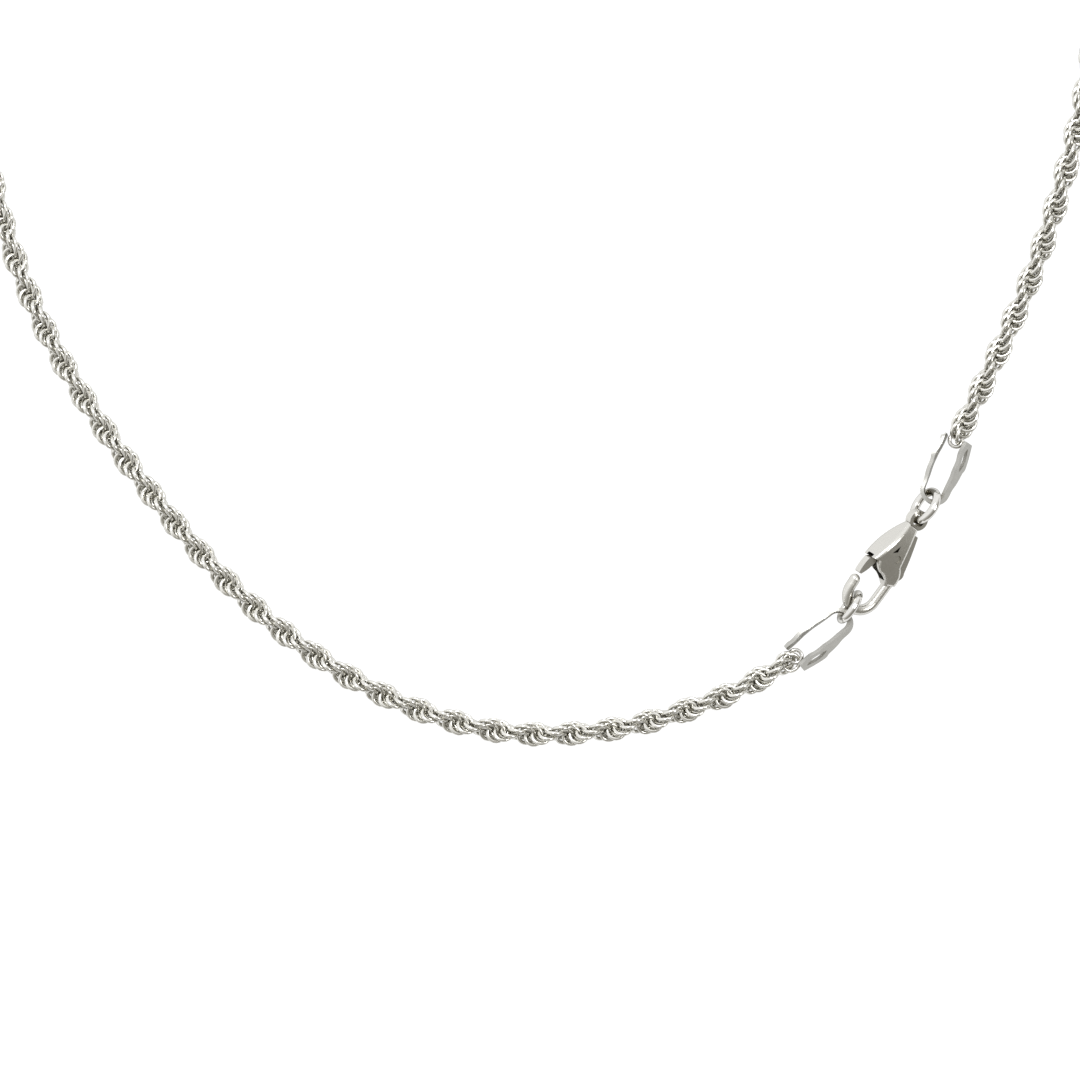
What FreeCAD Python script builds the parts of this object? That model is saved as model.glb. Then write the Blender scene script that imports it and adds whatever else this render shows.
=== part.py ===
"""Rope chain necklace with soldered end tags, two jump rings and a lobster clasp.

The necklace lies closed on a flat surface, z = 0. Millimetres, +Z up.
The rope is the loop; the clasp joins its two ends at the lower right (+X, -Y).
"""
import FreeCAD, Part
import math
import os

V = FreeCAD.Vector

# ---- rope -------------------------------------------------------------------
ROPE_DIAMETER = 2.9
ROPE_Z = ROPE_DIAMETER / 2
ARC_SHARE = 0.45
# Corners of the loop, from the closing ring's tag round to the clasp ring's tag.
ROPE_ROUTE = [
    (28.2, -62.9), (24.6, -65.3), (18.3, -68.0), (9.6, -70.7), (-1.7, -71.5),
    (-12.2, -69.2), (-22.7, -64.1), (-32.9, -56.2), (-41.7, -46.2), (-49.9, -35.0),
    (-56.5, -23.1), (-61.1, -9.1), (-62.8, 7.3), (-59.9, 28.4), (-49.2, 48.9),
    (-29.7, 64.9), (-4.7, 72.2), (20.8, 69.7), (42.8, 57.9), (57.1, 39.9),
    (62.6, 20.4), (61.8, 3.0), (56.9, -15.6), (51.2, -29.2), (46.75, -38.0),
]
LINK_WIRE = 0.43

# ---- end tags: one strip bent into a hairpin, a leaf on each side -----------
TAG_THICKNESS = 0.42
TAG_START = 0.35
TAG_APEX = 8.0
TAG_HALF_GAP = 1.32
TAG_BULGE = 0.22
CLOSING_RING_SEAT = 7.1
CLASP_RING_SEAT = 6.9
TAG_PITCH = 4.6
TAG_NOSE_WIDTH = 0.95
LEAF_WIDTH = 1.85
LEAF_ROOT_WIDTH = 1.25
LEAF_WIDEST = 2.3
EDGE_LEAF_ROLL = 16.0
FACE_LEAF_ROLL = 40.0
WINDOW_START = 0.95
WINDOW_END = 3.75
WINDOW_WIDTH = 0.78
END_LINK_X = 0.6
END_LINK_RADIUS = 0.72
CLOSING_TAG_YAW = 39.0
CLASP_TAG_YAW = 246.2

# ---- jump rings -------------------------------------------------------------
CLOSING_RING_RADIUS = 1.72
CLOSING_RING_WIRE = 0.86
CLOSING_RING_YAW = 56.7
CLOSING_RING_LEAN = -8.0
CLOSING_RING_Z = 2.17
CLASP_RING_RADIUS = 1.8
CLASP_RING_WIRE = 0.95
CLASP_RING_YAW = 58.0
CLASP_RING_LEAN = -24.0
CLASP_RING_Z = 2.2

# ---- lobster clasp, in its own plane: u from the hook to the eye ------------
CLASP_YAW = 53.7
CLASP_ROLL = 30.0
CLASP_Z = 2.25
EYE_U = 10.13
EYE_RADIUS = 1.15
EYE_HOLE = 0.72
EYE_THICKNESS = 1.0
HOOK_RADIUS = 1.95
HOOK_WIRE = 1.2
HOOK_ROOT_U = 3.6
HOOK_TIP = (0.7, 2.02)
PIVOT_U = 5.2
RIVET_RADIUS = 0.45
RIVET_LENGTH = 2.76
PIVOT_CLEARANCE = 0.05
SLOT_WIDTH = 1.16
LEVER_THICKNESS = 1.0
SPRING_WIRE = 0.16
SPRING_RADIUS = 0.62
SPRING_TURNS = 2
SPRING_PITCH = 0.18
SPRING_LEG = 1.85
SPRING_LEG_ANGLE = 10.0
SPRING_POCKET = 0.86


def placement(origin, yaw, lean=0.0, pitch=0.0):
    """Local X turned by yaw about Z, then tipped up by pitch, then rolled about itself by lean."""
    turn = FreeCAD.Rotation(V(0, 0, 1), yaw)
    turn = turn.multiply(FreeCAD.Rotation(V(0, 1, 0), -pitch))
    turn = turn.multiply(FreeCAD.Rotation(V(1, 0, 0), lean))
    return FreeCAD.Placement(V(*origin), turn)


def placed(shape, where):
    moved = shape.copy()
    moved.Placement = where.multiply(moved.Placement)
    return moved


def heading(yaw):
    return V(math.cos(math.radians(yaw)), math.sin(math.radians(yaw)), 0)


# ---- where the pieces meet --------------------------------------------------
CLOSING_TAG_ROOT = V(ROPE_ROUTE[0][0], ROPE_ROUTE[0][1], ROPE_Z)
CLASP_TAG_ROOT = V(ROPE_ROUTE[-1][0], ROPE_ROUTE[-1][1], ROPE_Z)
CLOSING_TAG_PLACE = placement(CLOSING_TAG_ROOT, CLOSING_TAG_YAW, pitch=TAG_PITCH)
CLASP_TAG_PLACE = placement(CLASP_TAG_ROOT, CLASP_TAG_YAW, pitch=TAG_PITCH)

closing_seat = CLOSING_TAG_PLACE.multVec(V(CLOSING_RING_SEAT, 0, 0))
clasp_seat = CLASP_TAG_PLACE.multVec(V(CLASP_RING_SEAT, 0, 0))
CLOSING_SEAT = V(closing_seat.x, closing_seat.y, CLOSING_RING_Z)
CLASP_SEAT = V(clasp_seat.x, clasp_seat.y, CLASP_RING_Z)
CLOSING_RING_CENTRE = CLOSING_SEAT + heading(CLOSING_RING_YAW) * CLOSING_RING_RADIUS
CLASP_RING_CENTRE = CLASP_SEAT - heading(CLASP_RING_YAW) * CLASP_RING_RADIUS

EYE_CENTRE = CLASP_RING_CENTRE - heading(CLASP_RING_YAW) * CLASP_RING_RADIUS
HOOK_CENTRE = EYE_CENTRE - heading(CLASP_YAW) * EYE_U
CLASP_PLACE = placement((HOOK_CENTRE.x, HOOK_CENTRE.y, CLASP_Z), CLASP_YAW, lean=CLASP_ROLL)


# ---- rope -------------------------------------------------------------------
def rope_path():
    """Straight runs joined by tangent arcs; each arc is as large as its two runs allow."""
    corners = [V(x, y, ROPE_Z) for x, y in ROPE_ROUTE]
    edges = []
    radii = []
    start = corners[0]
    for before, corner, after in zip(corners, corners[1:], corners[2:]):
        back = before - corner
        ahead = after - corner
        cut = ARC_SHARE * min(back.Length, ahead.Length)
        turn = math.pi - back.getAngle(ahead)
        radius = cut / math.tan(turn / 2)
        back.normalize()
        ahead.normalize()
        arc_start = corner + back * cut
        arc_end = corner + ahead * cut
        inward = back + ahead
        inward.normalize()
        arc_middle = corner + inward * (radius / math.cos(turn / 2) - radius)
        edges.append(Part.LineSegment(start, arc_start).toShape())
        edges.append(Part.Arc(arc_start, arc_middle, arc_end).toShape())
        radii.append(radius)
        start = arc_end
    edges.append(Part.LineSegment(start, corners[-1]).toShape())
    return Part.Wire(edges), radii


def rope():
    """Plain tube of the rope's outer diameter along its whole length."""
    path, radii = rope_path()
    first = path.Edges[0]
    section = Part.Wire(Part.makeCircle(ROPE_DIAMETER / 2, first.valueAt(first.FirstParameter),
                                        first.tangentAt(first.FirstParameter)))
    tube = path.makePipeShell([section], True, False)
    expected = math.pi * (ROPE_DIAMETER / 2) ** 2 * path.Length
    print("rope length", round(path.Length, 2), "volume ratio", round(tube.Volume / expected, 4))
    print("arc radii", [round(r, 1) for r in radii])
    return tube


# ---- end tags ---------------------------------------------------------------
def leaf_width(x):
    """Strip width along a leg: narrow at the rope, widest at the leaf, narrow at the nose."""
    if x < LEAF_WIDEST:
        share = math.sin(math.pi / 2 * x / LEAF_WIDEST)
        return LEAF_ROOT_WIDTH + (LEAF_WIDTH - LEAF_ROOT_WIDTH) * share
    nose_x = TAG_APEX - TAG_HALF_GAP
    share = min(1.0, (x - LEAF_WIDEST) / (nose_x - LEAF_WIDEST))
    return TAG_NOSE_WIDTH + (LEAF_WIDTH - TAG_NOSE_WIDTH) * (1 + math.cos(math.pi * share)) / 2


def leg_y(x):
    nose_x = TAG_APEX - TAG_HALF_GAP
    return TAG_HALF_GAP + TAG_BULGE * math.sin(math.pi * min(1.0, x / nose_x)) ** 2


def leaf_tilt(roll):
    """Direction of the strip's width on a leg that is rolled about the tag's long axis."""
    return V(0, math.sin(math.radians(roll)), math.cos(math.radians(roll)))


def strip_section(centre, tangent, across, width):
    """Rectangle across the strip, its width made square to the strip's run."""
    wide = across - tangent * across.dot(tangent)
    wide.normalize()
    thick = tangent.cross(wide)
    w = wide * (width / 2)
    t = thick * (TAG_THICKNESS / 2)
    corners = [centre + w + t, centre - w + t, centre - w - t, centre + w - t]
    return Part.makePolygon(corners + corners[:1])


def tag_sections():
    """Sections from the edge-on leaf (+Y), round the nose, to the leaf that shows its face (-Y)."""
    nose_x = TAG_APEX - TAG_HALF_GAP
    leg_steps = [TAG_START, 1.2, 2.3, 3.4, 4.5, 5.6]
    sections = []
    for x in leg_steps:
        slope = (leg_y(x + 0.01) - leg_y(x - 0.01)) / 0.02
        tangent = V(1, slope, 0)
        tangent.normalize()
        sections.append(strip_section(V(x, leg_y(x), 0), tangent, leaf_tilt(EDGE_LEAF_ROLL), leaf_width(x)))
    nose_steps = 8
    for i in range(nose_steps + 1):
        angle = math.pi / 2 - math.pi * i / nose_steps
        centre = V(nose_x + TAG_HALF_GAP * math.cos(angle), TAG_HALF_GAP * math.sin(angle), 0)
        tangent = V(math.sin(angle), -math.cos(angle), 0)
        share = i / nose_steps
        roll = EDGE_LEAF_ROLL + (FACE_LEAF_ROLL - EDGE_LEAF_ROLL) * share
        sections.append(strip_section(centre, tangent, leaf_tilt(roll), TAG_NOSE_WIDTH))
    for x in reversed(leg_steps):
        slope = (leg_y(x + 0.01) - leg_y(x - 0.01)) / 0.02
        tangent = V(-1, slope, 0)
        tangent.normalize()
        sections.append(strip_section(V(x, -leg_y(x), 0), tangent, leaf_tilt(FACE_LEAF_ROLL), leaf_width(x)))
    return sections


def leaf_window(side, roll):
    """Almond-shaped cutter that goes square through one leaf."""
    middle = (WINDOW_START + WINDOW_END) / 2
    half = WINDOW_WIDTH / 2
    tips = [V(WINDOW_START, 0, 0), V(WINDOW_END, 0, 0)]
    upper = Part.Arc(tips[0], V(middle, half, 0), tips[1]).toShape()
    lower = Part.Arc(tips[1], V(middle, -half, 0), tips[0]).toShape()
    lens = Part.Face(Part.Wire([upper, lower])).extrude(V(0, 0, 2.4))
    lens.translate(V(0, 0, -1.2))
    lens.rotate(V(0, 0, 0), V(1, 0, 0), 90 - roll)
    lens.translate(V(0, side * leg_y(middle), 0))
    return lens


def end_tag(mirrored):
    """Hairpin tag, root at the origin, nose towards +X."""
    strip = Part.makeLoft(tag_sections(), True, False)
    strip = strip.cut(leaf_window(1, EDGE_LEAF_ROLL))
    strip = strip.cut(leaf_window(-1, FACE_LEAF_ROLL))
    if mirrored:
        strip = strip.mirror(V(0, 0, 0), V(0, 1, 0))
    return strip.Solids[0]


def end_link():
    """Last link of the rope, which is soldered between the two leaves."""
    return Part.makeTorus(END_LINK_RADIUS, LINK_WIRE / 2, V(END_LINK_X, 0, 0), V(0, 0, 1))


# ---- jump rings -------------------------------------------------------------
def jump_ring(mean_radius, wire, centre, yaw, lean):
    """Ring standing on edge along yaw, then leaned about that line; its hole axis starts as local Y."""
    ring = Part.makeTorus(mean_radius, wire / 2, V(0, 0, 0), V(0, 1, 0))
    return placed(ring, placement(centre, yaw, lean=-lean))


# ---- lobster clasp ----------------------------------------------------------
def prism(points, half_height):
    """Polygon in the clasp's plane, thickened equally both ways."""
    outline = [V(u, v, -half_height) for u, v in points]
    face = Part.Face(Part.makePolygon(outline + outline[:1]))
    return face.extrude(V(0, 0, 2 * half_height))


def hook():
    """Round bar from the trunk, round the end of the claw, to its tip."""
    root = V(HOOK_ROOT_U, -HOOK_RADIUS, 0)
    low = V(0, -HOOK_RADIUS, 0)
    far = V(-HOOK_RADIUS, 0, 0)
    high = V(0, HOOK_RADIUS, 0)
    tip = V(HOOK_TIP[0], HOOK_TIP[1], 0)
    past_high = V(0.35, HOOK_RADIUS + 0.017, 0)
    path = Part.Wire([
        Part.LineSegment(root, low).toShape(),
        Part.Arc(low, far, high).toShape(),
        Part.Arc(high, past_high, tip).toShape(),
    ])
    section = Part.Wire(Part.makeCircle(HOOK_WIRE / 2, root, V(-1, 0, 0)))
    bar = path.makePipeShell([section], True, False)
    return bar.fuse(Part.makeSphere(HOOK_WIRE / 2, tip))


def trunk():
    """Body of the claw: its plan outline crossed with its bulging side profile."""
    plan = Part.Wire([
        Part.Arc(V(3.75, 2.35, 0), V(6.2, 1.78, 0), V(9.3, 0.85, 0)).toShape(),
        Part.LineSegment(V(9.3, 0.85, 0), V(9.3, -0.72, 0)).toShape(),
        Part.Arc(V(9.3, -0.72, 0), V(6.8, -0.8, 0), V(4.75, -1.3, 0)).toShape(),
        Part.Arc(V(4.75, -1.3, 0), V(3.9, -2.1, 0), V(2.7, -2.52, 0)).toShape(),
        Part.LineSegment(V(2.7, -2.52, 0), V(2.1, -1.4, 0)).toShape(),
        Part.Arc(V(2.1, -1.4, 0), V(2.72, -0.6, 0), V(2.95, 0.35, 0)).toShape(),
        Part.Arc(V(2.95, 0.35, 0), V(3.35, 1.1, 0), V(3.95, 1.6, 0)).toShape(),
        Part.LineSegment(V(3.95, 1.6, 0), V(3.75, 2.35, 0)).toShape(),
    ])
    slab = Part.Face(plan).extrude(V(0, 0, 4))
    slab.translate(V(0, 0, -2))
    side = Part.Wire([
        Part.Arc(V(1.9, 0, 0.5), V(4.9, 0, 1.47), V(9.4, 0, 0.52)).toShape(),
        Part.LineSegment(V(9.4, 0, 0.52), V(9.4, 0, -0.52)).toShape(),
        Part.Arc(V(9.4, 0, -0.52), V(4.9, 0, -1.47), V(1.9, 0, -0.5)).toShape(),
        Part.LineSegment(V(1.9, 0, -0.5), V(1.9, 0, 0.5)).toShape(),
    ])
    profile = Part.Face(side).extrude(V(0, 8, 0))
    profile.translate(V(0, -4, 0))
    return slab.common(profile)


def softened(shape, radius):
    """Round the trunk's long edges, those between its flanks and its side walls."""
    edges = [e for e in shape.Edges if e.Length > 1.0 and abs(e.CenterOfMass.z) > 0.4]
    return shape.makeFillet(radius, edges)


def clasp_body():
    """Claw with its hook and eye, hollow for the lever, which comes out at the mouth and the thumb side."""
    solid = softened(trunk(), 0.4).fuse(hook())
    eye = Part.makeCylinder(EYE_RADIUS, EYE_THICKNESS, V(EYE_U, 0, -EYE_THICKNESS / 2))
    solid = solid.fuse(eye)
    slot = prism([
        (3.3, -3.4), (8.85, -3.4), (8.85, 0.4), (6.2, 1.3), (4.15, 1.98),
        (4.15, 3.0), (1.95, 3.0), (1.95, -0.6), (3.3, -1.35),
    ], SLOT_WIDTH / 2)
    solid = solid.cut(slot)
    window = prism([(5.45, 1.02), (6.6, 0.62), (5.85, 0.5)], 1.0)
    window.translate(V(0, 0, 1.4))
    solid = solid.cut(window)
    eye_hole = Part.makeCylinder(EYE_HOLE, 3, V(EYE_U, 0, -1.5))
    rivet_hole = Part.makeCylinder(RIVET_RADIUS, 4, V(PIVOT_U, 0, -2))
    solid = solid.cut(eye_hole).cut(rivet_hole)
    return max(solid.Solids, key=lambda s: s.Volume)


def clasp_lever():
    """One plate: the gate that shuts the mouth, the hub on the rivet and the thumb tab."""
    half = LEVER_THICKNESS / 2
    outline = Part.Wire([
        Part.Arc(V(1.68, 2.42, -half), V(2.6, 2.5, -half), V(3.5, 2.42, -half)).toShape(),
        Part.LineSegment(V(3.5, 2.42, -half), V(4.05, 1.85, -half)).toShape(),
        Part.LineSegment(V(4.05, 1.85, -half), V(5.2, 1.2, -half)).toShape(),
        Part.Arc(V(5.2, 1.2, -half), V(6.1, 0.75, -half), V(6.9, 0.05, -half)).toShape(),
        Part.LineSegment(V(6.9, 0.05, -half), V(8.6, -0.95, -half)).toShape(),
        Part.LineSegment(V(8.6, -0.95, -half), V(8.6, -1.22, -half)).toShape(),
        Part.Arc(V(8.6, -1.22, -half), V(6.44, -2.02, -half), V(4.5, -2.6, -half)).toShape(),
        Part.Arc(V(4.5, -2.6, -half), V(3.95, -2.75, -half), V(3.5, -2.55, -half)).toShape(),
        Part.Arc(V(3.5, -2.55, -half), V(4.2, -1.7, -half), V(4.15, -0.6, -half)).toShape(),
        Part.Arc(V(4.15, -0.6, -half), V(4.12, 0.6, -half), V(3.75, 1.45, -half)).toShape(),
        Part.Arc(V(3.75, 1.45, -half), V(2.7, 1.62, -half), V(1.62, 2.06, -half)).toShape(),
        Part.Arc(V(1.62, 2.06, -half), V(1.55, 2.25, -half), V(1.68, 2.42, -half)).toShape(),
    ])
    plate = Part.Face(outline).extrude(V(0, 0, LEVER_THICKNESS))
    bore = Part.makeCylinder(RIVET_RADIUS + PIVOT_CLEARANCE, 2, V(PIVOT_U, 0, -1))
    pocket = Part.makeCylinder(SPRING_POCKET, 1, V(PIVOT_U, 0, 0))
    leg_room = Part.makeBox(2.4, 2.3, 1, V(PIVOT_U, -0.3, 0))
    return plate.cut(bore).cut(pocket).cut(leg_room).Solids[0]


def rivet():
    return Part.makeCylinder(RIVET_RADIUS, RIVET_LENGTH, V(PIVOT_U, 0, -RIVET_LENGTH / 2))


def spring():
    """Torsion spring wound clockwise up the rivet; its leg bears on the inside of the claw."""
    low = SPRING_WIRE / 2 + 0.03
    end_angle = math.radians(90 + SPRING_LEG_ANGLE)
    steps = 12 * SPRING_TURNS
    points = []
    for i in range(steps + 1):
        angle = end_angle + 2 * math.pi * SPRING_TURNS * (1 - i / steps)
        height = low + SPRING_PITCH * SPRING_TURNS * i / steps
        points.append(V(SPRING_RADIUS * math.cos(angle), SPRING_RADIUS * math.sin(angle), height))
    away = V(math.sin(end_angle), -math.cos(end_angle), 0)
    for share in (0.25, 0.6, 1.0):
        points.append(points[steps] + away * (SPRING_LEG * share))
    line = Part.BSplineCurve()
    line.interpolate(points)
    path = Part.Wire(line.toShape())
    section = Part.Wire(Part.makeCircle(SPRING_WIRE / 2, points[0], line.tangent(line.FirstParameter)[0]))
    wound = path.makePipeShell([section], True, True)
    wound.translate(V(PIVOT_U, 0, 0))
    return wound


def main():
    os.makedirs("parts", exist_ok=True)
    closing_tag = placed(end_tag(False), CLOSING_TAG_PLACE)
    clasp_tag = placed(end_tag(True), CLASP_TAG_PLACE)
    nodes = {
        "rope": rope(),
        "closing_end_tag": closing_tag,
        "clasp_end_tag": clasp_tag,
        "closing_end_link": placed(end_link(), CLOSING_TAG_PLACE),
        "clasp_end_link": placed(end_link(), CLASP_TAG_PLACE),
        "closing_ring": jump_ring(CLOSING_RING_RADIUS, CLOSING_RING_WIRE, CLOSING_RING_CENTRE,
                                  CLOSING_RING_YAW, CLOSING_RING_LEAN),
        "clasp_ring": jump_ring(CLASP_RING_RADIUS, CLASP_RING_WIRE, CLASP_RING_CENTRE,
                                CLASP_RING_YAW, CLASP_RING_LEAN),
        "clasp_body": placed(clasp_body(), CLASP_PLACE),
        "clasp_lever": placed(clasp_lever(), CLASP_PLACE),
        "lever_rivet": placed(rivet(), CLASP_PLACE),
        "lever_spring": placed(spring(), CLASP_PLACE),
    }
    for name, shape in nodes.items():
        shape.exportStep("parts/" + name + ".step")
        print(name, len(shape.Solids), "valid", shape.isValid(), "volume", round(shape.Volume, 3))
    print("closing seat", CLOSING_SEAT, "clasp seat", CLASP_SEAT)
    print("eye", EYE_CENTRE, "hook", HOOK_CENTRE)


main()
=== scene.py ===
"""Rope chain necklace on a white table, seen from straight above."""
import math

import bpy
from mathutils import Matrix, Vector


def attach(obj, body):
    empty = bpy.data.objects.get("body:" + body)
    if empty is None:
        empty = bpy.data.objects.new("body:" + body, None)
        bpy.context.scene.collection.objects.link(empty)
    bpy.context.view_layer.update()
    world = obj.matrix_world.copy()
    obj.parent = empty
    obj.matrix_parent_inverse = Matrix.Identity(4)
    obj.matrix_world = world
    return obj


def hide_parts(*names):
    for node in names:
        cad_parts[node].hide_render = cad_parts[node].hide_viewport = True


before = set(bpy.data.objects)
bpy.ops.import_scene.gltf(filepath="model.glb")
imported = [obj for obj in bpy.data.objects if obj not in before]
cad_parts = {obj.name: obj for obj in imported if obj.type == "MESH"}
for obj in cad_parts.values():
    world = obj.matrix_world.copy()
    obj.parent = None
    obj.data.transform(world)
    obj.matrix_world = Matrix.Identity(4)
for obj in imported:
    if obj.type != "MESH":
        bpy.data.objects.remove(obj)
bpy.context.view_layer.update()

MM = 0.001
ROPE_Z = 1.45 * MM
# The rope's route in millimetres, from the closing ring's tag round to the clasp ring's tag.
ROPE_ROUTE = [
    (28.2, -62.9), (24.6, -65.3), (18.3, -68.0), (9.6, -70.7), (-1.7, -71.5),
    (-12.2, -69.2), (-22.7, -64.1), (-32.9, -56.2), (-41.7, -46.2), (-49.9, -35.0),
    (-56.5, -23.1), (-61.1, -9.1), (-62.8, 7.3), (-59.9, 28.4), (-49.2, 48.9),
    (-29.7, 64.9), (-4.7, 72.2), (20.8, 69.7), (42.8, 57.9), (57.1, 39.9),
    (62.6, 20.4), (61.8, 3.0), (56.9, -15.6), (51.2, -29.2), (46.75, -38.0),
]

# Links: round wire rings in a double helix, alternately on either side of the centreline.
LINK_WIRE = 0.43 * MM
LINK_RADIUS = 0.97 * MM
LINK_OFFSET = 0.27 * MM
LINK_STEP = 0.38 * MM
LOBE = 4.33 * MM
LINK_LEAN = math.radians(8)
LINK_TILT = math.radians(-40)
# The links are shared out between this many meshes, so that none has too many faces.
LINK_SETS = 4
LINK_PHASE = 0.42
AROUND_LINK = 22
AROUND_WIRE = 8
ROUTE_RESOLUTION = 24
SHARP_EDGE = math.radians(32)
# Reflectance of the metal where it turns away, so its outline stays visible on the white floor.
EDGE_TINT = 0.45
WARMTH = 0.97
WEAR_SCALE = 900.0
WEAR_DEPTH = 0.00002
DARKEST_OCCLUSION = 0.15
OPEN_OCCLUSION = 0.9

CAMERA_LENS = 100
CAMERA_SENSOR = 36
PICTURE_WIDTH = 0.120
PICTURE_CENTRE = (0.0003, -0.0496)
LIGHT_TARGET = (0, -0.05, 0)
FLOOR_HALF = 4.0


# ---- camera: straight down, a long lens, the picture 120 mm wide ------------
def add_camera():
    data = bpy.data.cameras.new("camera")
    data.lens = CAMERA_LENS
    data.sensor_width = CAMERA_SENSOR
    data.clip_start = 0.01
    camera = bpy.data.objects.new("camera", data)
    height = PICTURE_WIDTH * CAMERA_LENS / CAMERA_SENSOR + ROPE_Z
    camera.location = (*PICTURE_CENTRE, height)
    camera.rotation_euler = (0, 0, 0)
    bpy.context.scene.collection.objects.link(camera)
    bpy.context.scene.camera = camera


# ---- rope -------------------------------------------------------------------
def route_line():
    """Points along the rope's centreline, read from the route's own spline."""
    data = bpy.data.curves.new("route", "CURVE")
    data.dimensions = "3D"
    data.resolution_u = ROUTE_RESOLUTION
    spline = data.splines.new("NURBS")
    spline.points.add(len(ROPE_ROUTE) - 1)
    for point, (x, y) in zip(spline.points, ROPE_ROUTE):
        point.co = (x * MM, y * MM, ROPE_Z, 1)
    spline.order_u = 3
    spline.use_endpoint_u = True
    curve = bpy.data.objects.new("route", data)
    bpy.context.scene.collection.objects.link(curve)
    mesh = bpy.data.meshes.new_from_object(curve)
    line = [v.co.copy() for v in mesh.vertices]
    bpy.data.objects.remove(curve)
    bpy.data.meshes.remove(mesh)
    return line


def walk(line, step):
    """Evenly spaced (point, direction) pairs along a line, one every step."""
    places = []
    travelled = 0.0
    wanted = step / 2
    for a, b in zip(line, line[1:]):
        length = (b - a).length
        while wanted <= travelled + length:
            places.append((a.lerp(b, (wanted - travelled) / length), (b - a).normalized()))
            wanted += step
        travelled += length
    return places, travelled


def add_mesh(name, verts, faces, body, material):
    mesh = bpy.data.meshes.new(name)
    mesh.from_pydata(verts, [], faces)
    mesh.update()
    mesh.shade_smooth()
    mesh.materials.append(material)
    piece = bpy.data.objects.new(name, mesh)
    bpy.context.scene.collection.objects.link(piece)
    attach(piece, body)
    return piece


def link_points(place, direction, number):
    """Vertices of one ring of wire; every second ring sits on the other side of the centreline."""
    side = Vector((-direction.y, direction.x, 0))
    up = Vector((0, 0, 1))
    turn = LINK_PHASE - math.pi * LINK_STEP / LOBE * number + math.pi * (number % 2)
    outward = side * math.cos(turn) + up * math.sin(turn)
    across = up * math.cos(turn) - side * math.sin(turn)
    along = direction * math.cos(LINK_LEAN) + across * math.sin(LINK_LEAN)
    inward = outward * math.cos(LINK_TILT) + along.cross(outward) * math.sin(LINK_TILT)
    normal = inward.cross(along)
    centre = place + outward * LINK_OFFSET
    verts = []
    for i in range(AROUND_LINK):
        a = 2 * math.pi * i / AROUND_LINK
        spoke = inward * math.cos(a) + along * math.sin(a)
        for j in range(AROUND_WIRE):
            b = 2 * math.pi * j / AROUND_WIRE
            reach = LINK_RADIUS + LINK_WIRE / 2 * math.cos(b)
            verts.append(centre + spoke * reach + normal * (LINK_WIRE / 2 * math.sin(b)))
    return verts


def link_faces(first):
    faces = []
    for i in range(AROUND_LINK):
        k = (i + 1) % AROUND_LINK
        for j in range(AROUND_WIRE):
            m = (j + 1) % AROUND_WIRE
            faces.append((first + i * AROUND_WIRE + j, first + k * AROUND_WIRE + j,
                          first + k * AROUND_WIRE + m, first + i * AROUND_WIRE + m))
    return faces


def add_rope(material):
    line = route_line()
    places, length = walk(line, LINK_STEP)
    for s in range(LINK_SETS):
        verts = []
        faces = []
        for number in range(s, len(places), LINK_SETS):
            faces += link_faces(len(verts))
            verts += link_points(*places[number], number)
        name = "rope_links_%d" % (s + 1)
        add_mesh(name, verts, faces, "chain", material)
    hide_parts("rope")
    print("rope", len(places), "links, length", round(length, 4))


# ---- materials --------------------------------------------------------------
def metal(name, colour, roughness, reach, scratch=0.05, painted_shade=(0.30, 0.28, 0.23)):
    """Silver with fine wear in its gloss and painted warm shade where the pieces crowd together."""
    material = bpy.data.materials.new(name)
    material.use_nodes = True
    nodes = material.node_tree.nodes
    links = material.node_tree.links
    shader = nodes["Principled BSDF"]
    shader.inputs["Metallic"].default_value = 1.0
    shader.inputs["Specular Tint"].default_value = (EDGE_TINT, EDGE_TINT, EDGE_TINT * WARMTH, 1)
    coords = nodes.new("ShaderNodeTexCoord")
    noise = nodes.new("ShaderNodeTexNoise")
    noise.inputs["Scale"].default_value = WEAR_SCALE
    noise.inputs["Detail"].default_value = 4
    links.new(coords.outputs["Object"], noise.inputs["Vector"])
    rough = nodes.new("ShaderNodeMapRange")
    rough.inputs["To Min"].default_value = roughness * 0.7
    rough.inputs["To Max"].default_value = roughness * 1.4
    links.new(noise.outputs["Fac"], rough.inputs["Value"])
    links.new(rough.outputs["Result"], shader.inputs["Roughness"])
    bump = nodes.new("ShaderNodeBump")
    bump.inputs["Strength"].default_value = scratch
    bump.inputs["Distance"].default_value = WEAR_DEPTH
    links.new(noise.outputs["Fac"], bump.inputs["Height"])
    links.new(bump.outputs["Normal"], shader.inputs["Normal"])
    # Painted shade: ambient occlusion mixes the base colour towards a dark warm grey where the pieces
    # crowd together.
    occlusion = nodes.new("ShaderNodeAmbientOcclusion")
    occlusion.samples = 8
    occlusion.inputs["Distance"].default_value = reach
    ramp = nodes.new("ShaderNodeMapRange")
    ramp.inputs["From Min"].default_value = DARKEST_OCCLUSION
    ramp.inputs["From Max"].default_value = OPEN_OCCLUSION
    links.new(occlusion.outputs["AO"], ramp.inputs["Value"])
    mix = nodes.new("ShaderNodeMix")
    mix.data_type = "RGBA"
    mix.inputs["A"].default_value = (*painted_shade, 1)
    mix.inputs["B"].default_value = (*colour, 1)
    links.new(ramp.outputs["Result"], mix.inputs["Factor"])
    links.new(mix.outputs["Result"], shader.inputs["Base Color"])
    return material


def dress(node, material):
    """Give a CAD node its metal, smooth on its curves and crisp at its edges."""
    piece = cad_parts[node]
    piece.data.materials.clear()
    piece.data.materials.append(material)
    piece.data.shade_smooth()
    piece.data.set_sharp_from_angle(angle=SHARP_EDGE)


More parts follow.
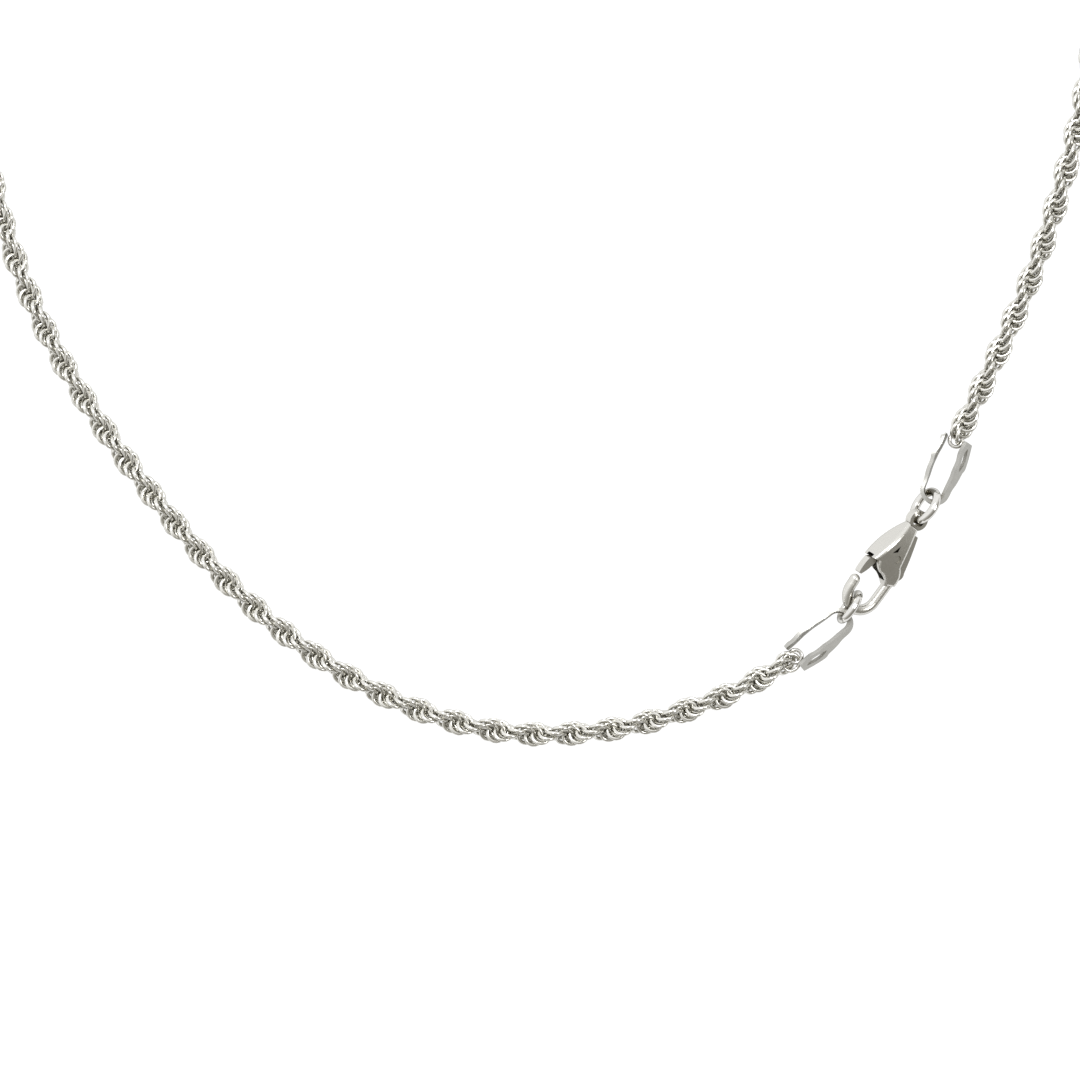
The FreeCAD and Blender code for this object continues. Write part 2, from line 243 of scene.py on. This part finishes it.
# ---- room -------------------------------------------------------------------
def add_floor():
    """Pure white tabletop that glows evenly, so no shadow falls on it."""
    mesh = bpy.data.meshes.new("floor")
    corners = [(x * FLOOR_HALF, y * FLOOR_HALF, 0) for x, y in ((-1, -1), (1, -1), (1, 1), (-1, 1))]
    mesh.from_pydata(corners, [], [(0, 1, 2, 3)])
    material = bpy.data.materials.new("floor")
    material.use_nodes = True
    shader = material.node_tree.nodes["Principled BSDF"]
    shader.inputs["Base Color"].default_value = (0.10, 0.10, 0.10, 1)
    shader.inputs["Roughness"].default_value = 0.9
    shader.inputs["Specular IOR Level"].default_value = 0.1
    shader.inputs["Emission Color"].default_value = (1, 1, 1, 1)
    shader.inputs["Emission Strength"].default_value = 1.0
    mesh.materials.append(material)
    floor = bpy.data.objects.new("floor", mesh)
    bpy.context.scene.collection.objects.link(floor)


def add_light(name, location, size, power):
    data = bpy.data.lights.new(name, "AREA")
    data.shape = "SQUARE"
    data.size = size
    data.energy = power
    light = bpy.data.objects.new(name, data)
    light.location = location
    light.rotation_euler = (Vector(LIGHT_TARGET) - Vector(location)).to_track_quat("-Z", "Y").to_euler()
    bpy.context.scene.collection.objects.link(light)


def add_world():
    """A bright tent: white towards the far left, warm grey towards the near right."""
    world = bpy.data.worlds.new("room")
    world.use_nodes = True
    nodes = world.node_tree.nodes
    links = world.node_tree.links
    coords = nodes.new("ShaderNodeTexCoord")
    facing = nodes.new("ShaderNodeVectorMath")
    facing.operation = "DOT_PRODUCT"
    facing.inputs[1].default_value = (-0.55, 0.80, 0.12)
    links.new(coords.outputs["Generated"], facing.inputs[0])
    shift = nodes.new("ShaderNodeMapRange")
    shift.inputs["From Min"].default_value = -1
    shift.inputs["From Max"].default_value = 1
    links.new(facing.outputs["Value"], shift.inputs["Value"])
    ramp = nodes.new("ShaderNodeValToRGB")
    ramp.color_ramp.elements[0].position = 0.15
    ramp.color_ramp.elements[0].color = (0.26, 0.25, 0.225, 1)
    ramp.color_ramp.elements[1].position = 0.66
    ramp.color_ramp.elements[1].color = (1, 1, 1, 1)
    middle = ramp.color_ramp.elements.new(0.42)
    middle.color = (0.48, 0.47, 0.44, 1)
    links.new(shift.outputs["Result"], ramp.inputs["Fac"])
    links.new(ramp.outputs["Color"], nodes["Background"].inputs["Color"])
    nodes["Background"].inputs["Strength"].default_value = 1.15
    bpy.context.scene.world = world
    # The plain view transform keeps the white table white.
    bpy.context.scene.view_settings.view_transform = "Standard"


# ---- build ------------------------------------------------------------------
add_camera()
# Each metal's dark colour is painted shade, mixed into its base colour where the pieces crowd together.
rope_silver = metal("rope_silver", (0.76, 0.75, 0.71), 0.14, painted_shade=(0.44, 0.425, 0.37), reach=0.0005)
ring_silver = metal("ring_silver", (0.72, 0.71, 0.685), 0.10, reach=0.0010)
clasp_silver = metal("clasp_silver", (0.68, 0.67, 0.635), 0.22, reach=0.0010)
tag_silver = metal("tag_silver", (0.46, 0.455, 0.43), 0.34, scratch=0.30, reach=0.0010)
spring_steel = metal("spring_steel", (0.55, 0.55, 0.56), 0.25, reach=0.0012)
add_rope(rope_silver)
for node in ("closing_ring", "clasp_ring", "closing_end_link", "clasp_end_link"):
    dress(node, ring_silver)
for node in ("clasp_body", "clasp_lever", "lever_rivet"):
    dress(node, clasp_silver)
for node in ("closing_end_tag", "clasp_end_tag"):
    dress(node, tag_silver)
dress("lever_spring", spring_steel)
add_floor()
add_world()
add_light("key", (-0.10, 0.25, 0.45), 0.16, 0.9)
add_light("fill", (0.30, -0.05, 0.35), 0.16, 0.5)
